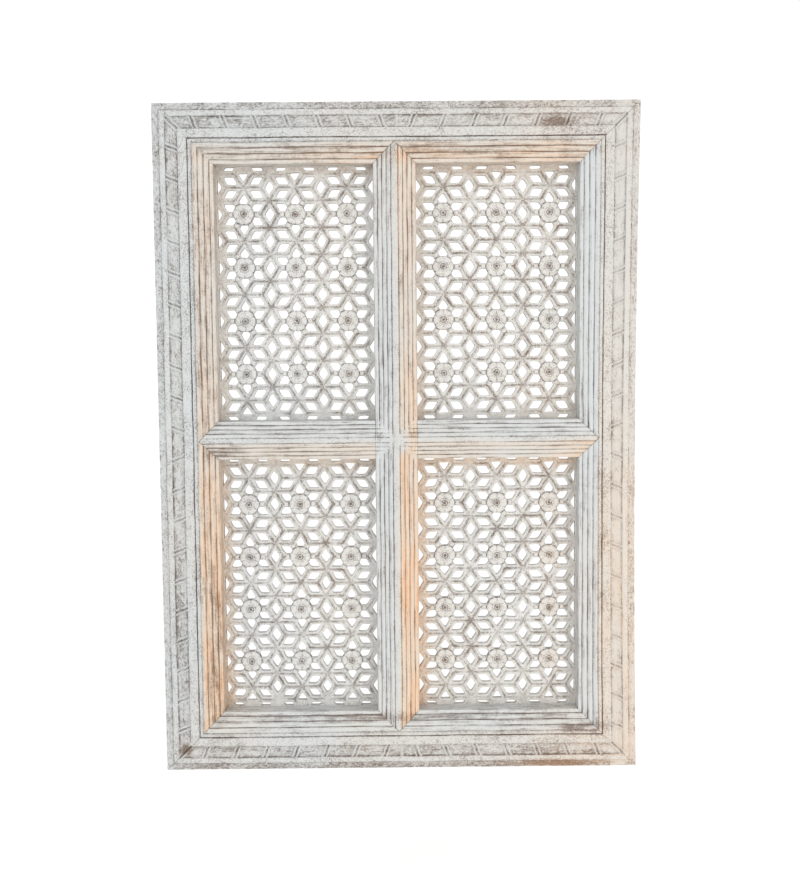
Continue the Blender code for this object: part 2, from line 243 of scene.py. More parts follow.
# Feature sizes in the wash, what each adds, and the levels between which a thing shows
SPECKLE_W = 1.5 * MM
PATCH_W = 13 * MM
STREAK_W = 2.2 * MM
THREAD_W = 4.5 * MM
STREAK_SHARE = 0.55
PATCH_SHARE = 0.30
BARE_SHARE = 0.40
WOOD_SHOWS = (0.66, 1.02)
PEACH_SHOWS = (0.25, 0.85)
THREAD_SHOWS = (0.42, 0.62)

# How warm the wash looks: its flat tone; painted warm light to the right, low on the right and on
# slopes that face right or down; painted cool light on slopes that face away; how far the tone
# drifts; painted warm light on the panes' side walls
FLAT_WARMTH = 0.16
RIGHT_WARM_LIGHT = 0.12
LOW_RIGHT_WARM_LIGHT = 0.30
SLOPE_WARM_LIGHT = 0.34
LOW_SLOPE_WARM_LIGHT = 0.36
AVERTED_COOL_LIGHT = 0.28
WARMTH_DRIFT = 0.10
PANE_SIDE_WARM_LIGHT = 0.75

# Studio and camera, with the camera's angles in degrees
FLOOR_SIZE = 9.0
FLOOR_Z = -1.05
SKY_STRENGTH = 1.08
CAMERA_PLACE = (-0.009, -2.105, 0.177)
CAMERA_LENS = 47.6
CAMERA_DOWN = 4.55
CAMERA_PAN = -0.30
CAMERA_ROLL = -0.48

# Colours of the wash and of the wood under it; the 'warm' mark, which carries painted warm and cool
# light, moves them from the cool wash and ash wood to the warm and peach wash and tan wood
COOL_LIT_WASH = (0.57, 0.59, 0.59)
WARM_LIT_WASH = (0.68, 0.56, 0.43)
PEACH_LIT_WASH = (0.71, 0.46, 0.30)
# The panes' wash is a lighter copy of the boards' wash: painted light that makes up for the shade
# inside the panes
PANE_COOL_LIT_WASH = (0.64, 0.65, 0.64)
PANE_WARM_LIT_WASH = (0.74, 0.64, 0.52)
ASH_WOOD = (0.17, 0.15, 0.14)
TAN_WOOD = (0.30, 0.17, 0.09)

# Places with a warmer wash, or a cooler one below 0: (x, z, reach along x and z, strength)
WARMED = [
    (0.000, 0.507, 0.340, 0.014, 0.22),
    (0.200, -0.020, 0.160, 0.016, -0.20),
    (-0.345, 0.250, 0.018, 0.250, 0.10),
    (-0.395, 0.150, 0.014, 0.400, 0.08),
    (0.395, -0.350, 0.020, 0.200, -0.06),
    (0.280, -0.594, 0.080, 0.010, 0.36),
    (-0.392, -0.562, 0.014, 0.012, 0.22),
]

# Places rubbed down to the wood, or with a whole wash below 0, in the same terms
RUBBED = [
    (0.283, 0.562, 0.026, 0.010, 0.70),
    (0.000, 0.596, 0.600, 0.008, 0.18),
    (0.000, -0.596, 0.600, 0.010, 0.34),
    (-0.392, -0.562, 0.010, 0.009, 0.95),
    (0.290, -0.592, 0.055, 0.008, 0.55),
    (0.220, -0.018, 0.160, 0.016, -0.18),
    (0.018, -0.270, 0.014, 0.250, -0.14),
    (-0.345, -0.300, 0.016, 0.250, 0.14),
    (-0.320, -0.016, 0.040, 0.010, 0.30),
    (-0.400, -0.250, 0.012, 0.160, 0.06),
    (-0.335, -0.380, 0.012, 0.150, 0.25),
    (-0.150, 0.515, 0.250, 0.016, 0.20),
    (0.200, 0.515, 0.200, 0.016, 0.22),
    (-0.345, 0.250, 0.016, 0.250, 0.16),
    (-0.395, 0.150, 0.012, 0.400, -0.12),
    (0.345, 0.250, 0.020, 0.250, -0.14),
    (0.330, -0.525, 0.060, 0.010, 0.45),
    (0.000, -0.505, 0.330, 0.008, 0.40),
    (-0.036, 0.010, 0.007, 0.008, 0.45),
    (0.026, 0.012, 0.007, 0.007, 0.40),
]


def fuzz(places, scale, seed=0.0):
    """Smooth noise, about -1 to 1, at an array of places; scale is the size of a feature."""
    scaled = np.asarray(places) / np.asarray(scale) + seed
    return np.array([noise.noise(Vector(place)) for place in scaled]) * 1.6


def blended(places, spots):
    """The sum of some soft spots, as (x, z, reach along x, reach along z, strength)."""
    total = np.zeros(len(places))
    for x, z, reach_x, reach_z, strength in spots:
        away = ((places[:, 0] - x) / reach_x) ** 2 + ((places[:, 2] - z) / reach_z) ** 2
        total += strength * np.exp(-away)
    return total


def places_of(bm):
    return np.array([corner.co for corner in bm.verts])


def put_places(bm, places):
    for corner, place in zip(bm.verts, places):
        corner.co = place


def note(bm, name, values):
    """Keep a number at every corner, for the material to read."""
    layer = bm.verts.layers.float.get(name) or bm.verts.layers.float.new(name)
    for corner, value in zip(bm.verts, np.clip(values, 0.0, 1.0)):
        corner[layer] = value


def noted(bm, name):
    layer = bm.verts.layers.float[name]
    return np.array([corner[layer] for corner in bm.verts])


def on_curve(values, curve):
    """A curve of (place, value) points, read at some places."""
    return np.interp(values, *zip(*curve))


def corners_in(items):
    """The corners among the elements that an operator gives back."""
    return [item for item in items if isinstance(item, bmesh.types.BMVert)]


def pointing(axis, side):
    """A unit vector along one axis, to one side."""
    vector = Vector((0.0, 0.0, 0.0))
    vector[axis] = side
    return vector


def put_in_scene(name, data):
    """A new object, linked into the scene."""
    thing = bpy.data.objects.new(name, data)
    bpy.context.scene.collection.objects.link(thing)
    return thing


def filled(places, step):
    """The same places with more between them, so that no gap is wider than the step."""
    result = [places[0]]
    for start, end in zip(places, places[1:]):
        count = max(1, math.ceil(abs(end - start) / step - NEAR))
        result += [start + (end - start) * index / count for index in range(1, count + 1)]
    return result


def bead(start, end):
    """A flat bead with rounded arrises, as (place, height, bareness)."""
    top = PANEL_T
    return [(start + ARRIS / 2, top - 2 * ARRIS, 0.55), (start + 2 * ARRIS, top - ARRIS, 0.25),
            (start + 5 * ARRIS, top, 0.16), (end - 5 * ARRIS, top, 0.16),
            (end - 2 * ARRIS, top - ARRIS, 0.25), (end - ARRIS / 2, top - 2 * ARRIS, 0.60)]


def border_moulding():
    """The front of a border board from its outer edge to the reeding."""
    bead_in = MARGIN_W + OUTER_BEAD_W
    band_in = bead_in + BAND_W
    quirk_out = band_in + INNER_BEAD_W
    fillet_out = quirk_out + QUIRK_W
    fillet_in = fillet_out + FILLET_W
    floor = PANEL_T - BAND_SINK
    points = [(0.0, PANEL_T - EDGE_SINK, 0.30), (2 * ARRIS, PANEL_T - EDGE_SINK + ARRIS, 0.24),
              (MARGIN_W - 5 * ARRIS, PANEL_T - MARGIN_SINK - ARRIS, 0.26),
              (MARGIN_W - ARRIS, PANEL_T - MARGIN_SINK, 0.60)]
    points += bead(MARGIN_W, bead_in)
    points += [(bead_in + ARRIS, floor, 0.60), (bead_in + 4 * ARRIS, floor, 0.32),
               (band_in - 4 * ARRIS, floor, 0.32), (band_in - ARRIS, floor, 0.70)]
    points += bead(band_in, quirk_out)
    # The quirk's dark line is bare wood and painted shade
    points += [((quirk_out + fillet_out) / 2, PANEL_T - QUIRK_SINK, 0.95),
               (fillet_out + ARRIS / 2, PANEL_T - FILLET_SINK - ARRIS, 0.40),
               (fillet_out + 3 * ARRIS, PANEL_T - FILLET_SINK, 0.12),
               (fillet_in - ARRIS, PANEL_T - FILLET_SINK, 0.30)]
    return points


def reeded(distance, width):
    """Height and bareness on a reeded slope, at a distance from the pane's edge."""
    reed_w = (width - EDGE_REED_W) / (REEDS - 1)
    first = distance < EDGE_REED_W
    share = np.where(first, distance / EDGE_REED_W, (distance - EDGE_REED_W) / reed_w % 1.0)
    across = np.abs(2 * share - 1)
    at_edge = first & (share < 0.5)
    sink = np.where(at_edge, EDGE_GROOVE_SHARE, 1.0) * across ** 4
    bare = REED_BARE + np.where(at_edge, EDGE_GROOVE_BARE, GROOVE_BARE) * across ** 8
    return LIP_H + REEDING_SLOPE * distance - REED_GROOVE * sink, bare


def reed_places(width):
    """Distances from the pane's edge that follow every reed."""
    reed_w = (width - EDGE_REED_W) / (REEDS - 1)
    grooves = [0.0] + [EDGE_REED_W + reed_w * index for index in range(REEDS)]
    places = [0.0]
    for start, end in zip(grooves, grooves[1:]):
        places += [start + (end - start) * share for share in REED_SHARES]
    return places


def rib_lines(length):
    """(place, lean) of every rib along a border board, leaning out from its middle."""
    middle = MARGIN_W + OUTER_BEAD_W + BAND_W / 2
    reach = length / 2 - middle
    lines = [(0.0, 0.0), (reach, BAND_W), (-reach, -BAND_W)]
    place = RIB_FIRST
    while place < reach - RIB_END_CLEAR:
        lines += [(place, RIB_LEAN), (-place, -RIB_LEAN)]
        place += RIB_PITCH
    return lines


def ribs(along, inward, length):
    """Rise of the ribs over the band's floor, and how dark the band is between and beside them:
    bare wood, with painted shade in the gap of each pair.
    """
    share = (inward - MARGIN_W - OUTER_BEAD_W) / BAND_W
    rise, gap = np.zeros(len(along)), np.zeros(len(along))
    for place, lean in rib_lines(length):
        sway = RIB_SWAY * np.sign(lean) * np.sin(2 * np.pi * share)
        slant = math.cos(math.atan2(abs(lean), BAND_W))
        off = np.abs(along - place - lean * (0.5 - share) + sway) * slant
        half_gap = RIB_HALF_GAP if lean else 0.0
        rise = np.maximum(rise, 1 - ((off - half_gap) / RIB_HALF_W) ** 2)
        if lean:
            # Painted shade, with bare wood, in the gap between a pair of ribs
            between = np.exp(-(off / half_gap / RIB_GAP_SHARE) ** 2)
            gap = np.maximum(gap, RIB_GAP_SHADE_AND_BARE * between)
        foot = np.exp(-((off - half_gap - RIB_FOOT_SHARE * RIB_HALF_W) / MM) ** 2)
        gap = np.maximum(gap, RIB_FOOT_BARE * foot)
    inside = (share > 0.0) & (share < 1.0)
    rise = np.clip(rise, 0, 1) ** RIB_ROUND
    return np.where(inside, rise, 0.0), np.where(inside, gap, 0.0)


def border_front(along, inward, length, seed):
    """Height and bareness over the front of a border board."""
    places, heights, bares = zip(*border_moulding())
    slope, slope_bare = reeded(BORDER_W - inward, REEDING_W)
    on_slope = inward > BORDER_W - REEDING_W
    height = np.where(on_slope, slope, np.interp(inward, places, heights))
    bare = np.where(on_slope, slope_bare, np.interp(inward, places, bares))
    rise, gap = ribs(along, inward, length)
    spots = np.stack([along, inward, np.zeros(len(along))], 1)
    band_out = MARGIN_W + OUTER_BEAD_W
    in_band = (inward > band_out + ARRIS / 2) & (inward < band_out + BAND_W - ARRIS / 2)
    gouge = np.where(in_band, fuzz(spots @ GOUGE_TURN, GOUGE_SIZE, seed + 3.7), 0.0)
    rough = np.where(inward < MARGIN_W - ARRIS, fuzz(spots, ROUGH_SIZE, seed + 9.1), 0.0)
    height += np.where(in_band, RIB_RISE * rise - (1 - rise) * BAND_CUT * (1 + gouge), 0.0)
    height -= MARGIN_ROUGH * np.abs(rough)
    worn = bare * (1 - rise) - RIB_TOP_WHOLE * rise + GOUGE_WEAR * gouge * (1 - rise)
    bare = np.where(in_band, worn, bare)
    # The ribs' dark marks, partly painted shade, darken the band
    bare = np.maximum(bare, BAND_SHARE * gap * in_band) + ROUGH_WEAR * rough
    return height, bare


def member_front(across, half, ridge_w):
    """Height and bareness across a mullion or rail."""
    width = half - ridge_w / 2
    distance = np.clip(half - np.abs(across), 0.0, None)
    slope, bare = reeded(np.minimum(distance, width - NEAR), width)
    ridge = LIP_H + REEDING_SLOPE * width
    from_side = np.abs(distance - width) / RIDGE_GROOVE_W
    on_ridge = distance > width
    height = np.where(on_ridge, ridge - 0.6 * REED_GROOVE * np.exp(-from_side ** 2), slope)
    ridge_bare = RIDGE_BARE + RIDGE_GROOVE_BARE * np.exp(-(2 * from_side) ** 2)
    return height, np.where(on_ridge, ridge_bare, bare)


def mullion_front(along, across):
    """The mullion's front, with the rails' reeding carved across its middle."""
    height, bare = member_front(across, MULLION_W / 2, MULLION_RIDGE_W)
    off = along + RAIL_Z
    over, over_bare = member_front(off, RAIL_W / 2, RAIL_RIDGE_W)
    crossing = (np.abs(off) < RAIL_W / 2) & (over > height)
    height, bare = np.where(crossing, over, height), np.where(crossing, over_bare, bare)
    centre = np.exp(-(off ** 2 + across ** 2) / (11 * MM) ** 2)
    return height, bare * (1 - centre)


def sweep(section, start, end, fine_at=None):
    """A closed section of (across, height) swept along X, in finer steps near one place."""
    bm = bmesh.new()
    ring = [bm.verts.new((start, -height, across)) for across, height in section]
    sides = [bm.edges.new((ring[index - 1], ring[index])) for index in range(len(ring))]
    made = bmesh.ops.extrude_edge_only(bm, edges=sides)["geom"]
    bmesh.ops.translate(bm, verts=corners_in(made), vec=(end - start, 0.0, 0.0))
    runs = [edge for edge in bm.edges if abs(edge.verts[0].co.x - edge.verts[1].co.x) > NEAR]
    steps = 2 * math.ceil((end - start) / LONG_STEP / 2)
    bmesh.ops.subdivide_edges(bm, edges=runs, cuts=steps - 1)
    if fine_at is not None:
        near = [edge for edge in bm.edges
                if abs(edge.verts[0].co.x - edge.verts[1].co.x) > NEAR
                and all(abs(corner.co.x - fine_at) < RAIL_W / 2 + MM for corner in edge.verts)]
        bmesh.ops.subdivide_edges(bm, edges=near, cuts=2)
    return bm


def finish_board(bm, front_of, lean_of, seed, hollow=0.0, length=1.0):
    """Carve the front, roughen the faces and let the lines waver as hand work does."""
    places = places_of(bm)
    along, across, height = places[:, 0], places[:, 2].copy(), -places[:, 1]
    front = np.abs(height - PANEL_T) < NEAR
    low, high = across.min(), across.max()
    carved, bared = front_of(along[front], across[front])
    height[front] = carved
    bare = np.where(height < NEAR, BACK_BARE, SIDE_BARE)
    spots = np.stack([along, across, height], 1)
    run = fuzz(spots[front], RUN_SIZE, seed + 6.1)
    bare[front] = bared * (1 + RUN_WEAR * np.where(bared > 0.35, run, 0.0))
    grain = fuzz(spots, GRAIN_SIZE, seed)
    pits = fuzz(spots, PIT_SIZE, seed + 5.3)
    lean = lean_of(along, across) * (height > REBATE_H - NEAR)
    height[front] -= GRAIN_DEPTH * (1 + grain[front]) + PIT_DEPTH * (1 + pits[front])
    height = np.minimum(height, PANEL_T)
    bare[front] += GRAIN_WEAR * np.abs(lean[front]) * grain[front] + PIT_WEAR * pits[front]
    bare += PATCH_WEAR * fuzz(spots, PATCH_SIZE, seed + 7.9)
    edge = np.minimum(across - low, high - across)
    waver = fuzz(spots * (1, 0.3, 0), WAVER_SIZE, seed + 2.2)
    across += np.where(front, WAVER * waver * np.clip(edge / (4 * MM), 0, 1), 0.0)
    nicked = np.clip(fuzz(spots, NICK_SIZE, seed + 4.4), 0, 1)
    outer = (edge < NEAR) & (height > REBATE_H + MM)
    sign = np.where(across - low < high - across, 1.0, -1.0)
    across += np.where(outer, NICK_DEPTH * nicked * sign, 0.0)
    if hollow:
        bow = hollow * (1 - (2 * along / length) ** 2)
        across += bow * np.clip(1 - (across / BORDER_W) ** 2, 0, 1)
    put_places(bm, np.stack([along, -height, across], 1))
    note(bm, "bare", bare)
    note(bm, "lean", 0.5 + 0.5 * lean)
    in_band = front & (np.abs(across - MARGIN_W - OUTER_BEAD_W - BAND_W / 2) < BAND_W / 2)
    note(bm, "streaky", np.maximum(np.abs(lean), BAND_STREAKS * in_band))


def border_lean(along, across):
    """1 where a border board slopes down towards its pane, and 0 on its flat mouldings."""
    return np.clip((across - BORDER_W + REEDING_W) / (3 * MM), 0, 1)


def member_lean(along, across):
    """The side that a cross member's slopes face, from -1 to 1, level at the crossing."""
    away = np.clip(np.hypot(along, across) / (30 * MM), 0, 1) ** 2
    return np.clip(across / (9 * MM), -1, 1) * away


def cut(bm, geom, point, normal, wear):
    """Cut away what lies beyond a plane, close the cut, and sink its front edge a little."""
    made = bmesh.ops.bisect_plane(bm, geom=geom, dist=NEAR, plane_co=point, plane_no=normal,
                                  clear_outer=True)["geom_cut"]
    corners = corners_in(made)
    edges = [item for item in made if isinstance(item, bmesh.types.BMEdge)]
    links = {corner: 0 for corner in corners}
    for edge in edges:
        for corner in edge.verts:
            links[corner] = links.get(corner, 0) + 1
    ends = [corner for corner, count in links.items() if count == 1]
    if len(ends) == 2:
        edges.append(bm.edges.new(ends))
    bmesh.ops.contextual_create(bm, geom=edges)
    layer = bm.verts.layers.float["bare"]
    for corner in corners:
        if -corner.co.y > LIP_H - JOINT_FRONT:
            corner.co.y += wear * JOINT_SINK
            corner[layer] = max(corner[layer], JOINT_BARE * wear)


def everything(bm):
    return list(bm.verts) + list(bm.edges) + list(bm.faces)


def part_of(faces):
    """Faces with their edges and corners, as the cutting operator takes them."""
    edges = {edge for face in faces for edge in face.edges}
    corners = {corner for face in faces for corner in face.verts}
    return faces + list(edges) + list(corners)


def mitre(bm, length):
    """Cut both ends of a border board to their mitres."""
    for side in (-1, 1):
        point = Vector((side * (length / 2 - FIT_GAP / math.sqrt(2)), 0.0, 0.0))
        cut(bm, everything(bm), point, Vector((side, 0.0, 1.0)), MITRE_WEAR)


def notch(bm, member_w, middle):
    """Cut the V that takes a cross member's point: one half of the board, then the other."""
    tip = Vector((middle, 0.0, BORDER_W - member_w / 2 - FIT_GAP / math.sqrt(2)))
    bmesh.ops.bisect_plane(bm, geom=everything(bm), dist=NEAR, plane_co=tip,
                           plane_no=(1.0, 0.0, 0.0))
    seam = [edge for edge in bm.edges
            if all(abs(corner.co.x - middle) < 10 * NEAR for corner in edge.verts)]
    bmesh.ops.split_edges(bm, edges=seam)
    for side in (-1, 1):
        faces = [face for face in bm.faces if side * (face.calc_center_median().x - middle) > 0]
        cut(bm, part_of(faces), tip, Vector((-side, 0.0, 1.0)), MITRE_WEAR)
    seam = [corner for corner in bm.verts if abs(corner.co.x - middle) < 10 * NEAR]
    bmesh.ops.remove_doubles(bm, verts=seam, dist=10 * NEAR)


def piece_from(bm, name, material):
    """Turn a finished bmesh into a piece that stands for its node."""
    bmesh.ops.recalc_face_normals(bm, faces=bm.faces)
    mesh = bpy.data.meshes.new(name + "_carved")
    bm.to_mesh(mesh)
    bm.free()
    mesh.materials.append(material)
    mesh.shade_smooth()
    mesh.set_sharp_from_angle(angle=SHARP_ANGLE)
    piece = put_in_scene(name + "_carved", mesh)
    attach(piece, "root")
    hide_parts(name)


def warm_light_and_tone(places, facing):
    """How warm the wash looks, from 0 for blue-grey to 1 for peach.

    The wash looks warmer where warm light is painted: to the right, most of all low on the right,
    and on slopes that face right or down; painted cool light makes slopes that face up or left
    cooler.
    """
    right, low = places[:, 0] / PANEL_W * 2, np.clip(0.5 - places[:, 2] / PANEL_H * 3, 0, 1)
    in_front = places[:, 1] < -REBATE_H
    low_right = np.clip(right, 0, 1) ** 2 * low * in_front
    flat = FLAT_WARMTH + RIGHT_WARM_LIGHT * right + LOW_RIGHT_WARM_LIGHT * low_right
    sloped = np.where(facing > 0, facing * (SLOPE_WARM_LIGHT + LOW_SLOPE_WARM_LIGHT * low),
                      AVERTED_COOL_LIGHT * facing * (right + 0.4))
    drift = fuzz(places, WARMTH_SIZE, 17.3)
    return flat + sloped + WARMTH_DRIFT * drift + blended(places, WARMED) * in_front


def colour_board(bm, turn):
    """Rub the board down where the photo shows it, and note how warm its wash looks under painted
    warm and cool light.
    """
    places = places_of(bm)
    from_edge = PANEL_W / 2 - places[:, 0]
    fuller = 0.32 * np.clip((BORDER_W / 2 - from_edge) / (12 * MM), 0, 1)
    fuller -= 0.28 * np.clip((MARGIN_W + OUTER_BEAD_W - from_edge) / (8 * MM), 0, 1)
    spots = (blended(places, RUBBED) - fuller) * (places[:, 1] < -REBATE_H)
    note(bm, "bare", noted(bm, "bare") + spots)
    lean = 2 * noted(bm, "lean") - 1
    towards = Matrix.Rotation(turn, 3, "Y") @ Vector((0.0, 0.0, 1.0))
    # The slopes' facing sets how much painted warm or cool light they get
    note(bm, "warm", warm_light_and_tone(places, lean * (0.95 * towards.x - 0.60 * towards.z)))
    bm.verts.layers.float.remove(bm.verts.layers.float["lean"])


def border_board(name, length, member_w, middle, turn, place, seed, material, hollow=0.0):
    """A border board: along X with its outer edge at Z = 0, then turned into its place."""
    wall = [(BORDER_W, REBATE_H + (LIP_H - REBATE_H) * share) for share in WALL_SHARES]
    section = [(0.0, 0.0), (BORDER_W / 2, 0.0), (BORDER_W - REBATE_W, 0.0),
               (BORDER_W - REBATE_W, REBATE_H)] + wall
    moulding = filled([point[0] for point in border_moulding()], 1.9 * MM)
    places = moulding + [BORDER_W - distance for distance in reversed(reed_places(REEDING_W))]
    section += [(across, PANEL_T) for across in reversed(places)]
    section += [(0.0, (PANEL_T - EDGE_SINK) * share) for share in (0.8, 0.5, 0.2)]
    bm = sweep(section, -length / 2, length / 2)
    finish_board(bm, lambda along, across: border_front(along, across, length, seed),
                 border_lean, seed, hollow, length)
    mitre(bm, length)
    notch(bm, member_w, middle)
    bm.transform(Matrix.Translation(place) @ Matrix.Rotation(turn, 4, "Y"))
    colour_board(bm, turn)
    piece_from(bm, name, material)


def member(width, ridge_w, start, end, front_of, lean_of, seed, fine_at=None):
    """A length of mullion or rail along X, with its middle at Z = 0."""
    half = width / 2
    wall = [(half, REBATE_H + (LIP_H - REBATE_H) * share) for share in WALL_SHARES]
    side = [(half - REBATE_W, 0.0), (half - REBATE_W, REBATE_H)] + wall
    slope = [half - distance for distance in reed_places(half - ridge_w / 2)]
    front = slope + [slope[-1] * share for share in (0.75, 0.4)]
    side += [(across, PANEL_T) for across in front]
    section = side + [(0.0, PANEL_T)] + [(-across, height) for across, height in reversed(side)]
    bm = sweep(section, start, end, fine_at)
    finish_board(bm, front_of, lean_of, seed)
    return bm


def point_end(bm, width, tip):
    """Cut a member's far end, towards +X, to a right-angled point."""
    for side in (-1, 1):
        point = Vector((tip - FIT_GAP / math.sqrt(2), 0.0, 0.0))
        cut(bm, everything(bm), point, Vector((1.0, 0.0, side)), POINT_WEAR)


def make_mullion(material):
    tip = PANEL_H / 2 - BORDER_W + MULLION_W / 2
    bm = member(MULLION_W, MULLION_RIDGE_W, -tip, tip, mullion_front,
                lambda along, across: member_lean(along + RAIL_Z, across), 51.0, -RAIL_Z)
    point_end(bm, MULLION_W, tip)
    bm.transform(Matrix.Rotation(math.pi, 4, "Y"))
    point_end(bm, MULLION_W, tip)
    place = Matrix.Translation((MULLION_X, 0.0, 0.0))
    bm.transform(place @ Matrix.Rotation(-math.pi / 2, 4, "Y"))
    colour_board(bm, math.pi / 2)
    piece_from(bm, "mullion", material)


def make_rail(name, side, seed, material):
    tip = PANEL_W / 2 - BORDER_W + RAIL_W / 2
    start = side * MULLION_X + MULLION_W / 2 + FIT_GAP
    turn = 0.0 if side > 0 else math.pi

    def front_of(along, across):
        return member_front(across, RAIL_W / 2, RAIL_RIDGE_W)

    bm = member(RAIL_W, RAIL_RIDGE_W, start - LONG_STEP, tip, front_of, member_lean, seed)
    cut(bm, everything(bm), Vector((start, 0.0, 0.0)), Vector((-1.0, 0.0, 0.0)), BUTT_WEAR)
    point_end(bm, RAIL_W, tip)
    bm.transform(Matrix.Translation((0.0, 0.0, RAIL_Z)) @ Matrix.Rotation(turn, 4, "Y"))
    colour_board(bm, turn)
    piece_from(bm, name, material)


def is_full(column):
    """Whether a column has stars right up to both ends of the field."""
    return (column + STAR_COLUMNS // 2) % 2 == 0


def is_flower(column, row):
    return not is_full(column) and int(row + STAR_ROWS / 2) % 2 == 1


def stars(spare=0):
    """(column, row) of every star in a pane, with spare rows beyond both ends."""
    for column in range(-(STAR_COLUMNS // 2), STAR_COLUMNS // 2 + 1):
        count = STAR_ROWS + 2 * spare + (1 if is_full(column) else 0)
        for index in range(count):
            yield column, index - (count - 1) / 2


def star_place(column, row, pitch):
    return Vector((column * pitch.x, 0.0, row * pitch.z))


def add_tile(bm, opens, pitch, corner, kind, side, level):
    """A rhombic tile at a star: upright, or tilted to one side of it."""
    third = side * pitch.x / 3
    rise = level * pitch.z / 2
    if kind == UPRIGHT:
        steps = [(0, 0), (third, rise), (0, 2 * rise), (-third, rise)]
    else:
        steps = [(0, 0), (2 * third, 0), (3 * third, rise), (third, rise)]
    face = bm.faces.new([bm.verts.new(corner + Vector((x, 0.0, z))) for x, z in steps])
    face[opens] = kind


def close_beyond(bm, opens, kind, axis, limit):
    """Cut the tiles of a kind along two lines, and leave what lies beyond them solid."""
    for side in (-1, 1):
        normal = pointing(axis, side)
        tiles = [face for face in bm.faces if face[opens] == kind]
        bmesh.ops.bisect_plane(bm, geom=part_of(tiles), dist=NEAR, plane_co=normal * limit,
                               plane_no=normal)
        for face in bm.faces:
            if face[opens] == kind and side * face.calc_center_bounds()[axis] > limit:
                face[opens] = 0


def tiled_plate(half_w, half_h, pitch):
    """The flat tiling of one pane, trimmed to its rim; the opening tiles keep their kind."""
    bm = bmesh.new()
    opens = bm.faces.layers.int.new("opens")
    for column, row in stars(spare=1):
        corner = star_place(column, row, pitch)
        add_tile(bm, opens, pitch, corner, UPRIGHT, 1, 1)
        if is_full(column):
            for side in (-1, 1):
                add_tile(bm, opens, pitch, corner, TILTED, side, 1)
                add_tile(bm, opens, pitch, corner, TILTED, side, -1)
    bmesh.ops.remove_doubles(bm, verts=bm.verts, dist=10 * NEAR)
    field_w, field_h = pitch.x * STAR_COLUMNS / 2, pitch.z * STAR_ROWS / 2
    slot_limit = half_h - REBATE_W + FIT_GAP - SLOT_EDGE_W
    for face in bm.faces:
        middle = face.calc_center_bounds()
        if abs(middle.x) > field_w + NEAR or abs(middle.z) > field_h + pitch.z / 2 - NEAR:
            face[opens] = 0
    close_beyond(bm, opens, UPRIGHT, 0, field_w + BAR_W / 2)
    close_beyond(bm, opens, UPRIGHT, 2, field_h + BAR_W / 2 + UPRIGHT_SPARE)
    close_beyond(bm, opens, TILTED, 2, slot_limit + BAR_W / 2)
    for axis, limit in ((0, half_w), (2, half_h)):
        for side in (-1, 1):
            normal = pointing(axis, side)
            bmesh.ops.bisect_plane(bm, geom=everything(bm), dist=NEAR, plane_co=normal * limit,
                                   plane_no=normal, clear_outer=True)
    return bm, opens


def nearest_star(place, pitch):
    """The star nearest to a place, as a vector."""
    column = round(place.x / pitch.x)
    shift = 0.5 if is_full(column) == (STAR_ROWS % 2 == 1) else 0.0
    return star_place(column, round(place.z / pitch.z - shift) + shift, pitch)


def blunt_hole(ring, kind, pitch):
    """Bring a hole's two sharp ends back from the stars that they point to."""
    middle = sum((corner.co for corner in ring), Vector()) / len(ring)
    for corner in ring:
        if kind == TILTED:
            corner.co.z = middle.z + TILTED_STRETCH * (corner.co.z - middle.z)
        star = nearest_star(corner.co, pitch)
        away = middle - star
        if kind == UPRIGHT:
            axis = Vector((0.0, 0.0, math.copysign(1.0, away.z)))
        else:
            axis = Vector((math.copysign(pitch.x, away.x), 0.0,
                           math.copysign(pitch.z / 2, away.z))).normalized()
        reach = (corner.co - star).dot(axis)
        if 0 < reach < BAR_REACH:
            corner.co += axis * (BAR_REACH - reach)


def round_holes(corners, pitch):
    """Round the holes by averaging along their edges, most of all at their sharp ends."""
    for _ in range(HOLE_ROUNDINGS):
        moved = {}
        for corner in corners:
            near = [edge.other_vert(corner).co for edge in corner.link_edges if edge.is_boundary]
            gap = (corner.co - nearest_star(corner.co, pitch)).length
            soft = HOLE_SOFT + TIP_SOFTER * (gap < BAR_REACH + TIP_REACH)
            moved[corner] = corner.co.lerp((near[0] + near[1]) / 2, soft)
        for corner, place in moved.items():
            corner.co = place


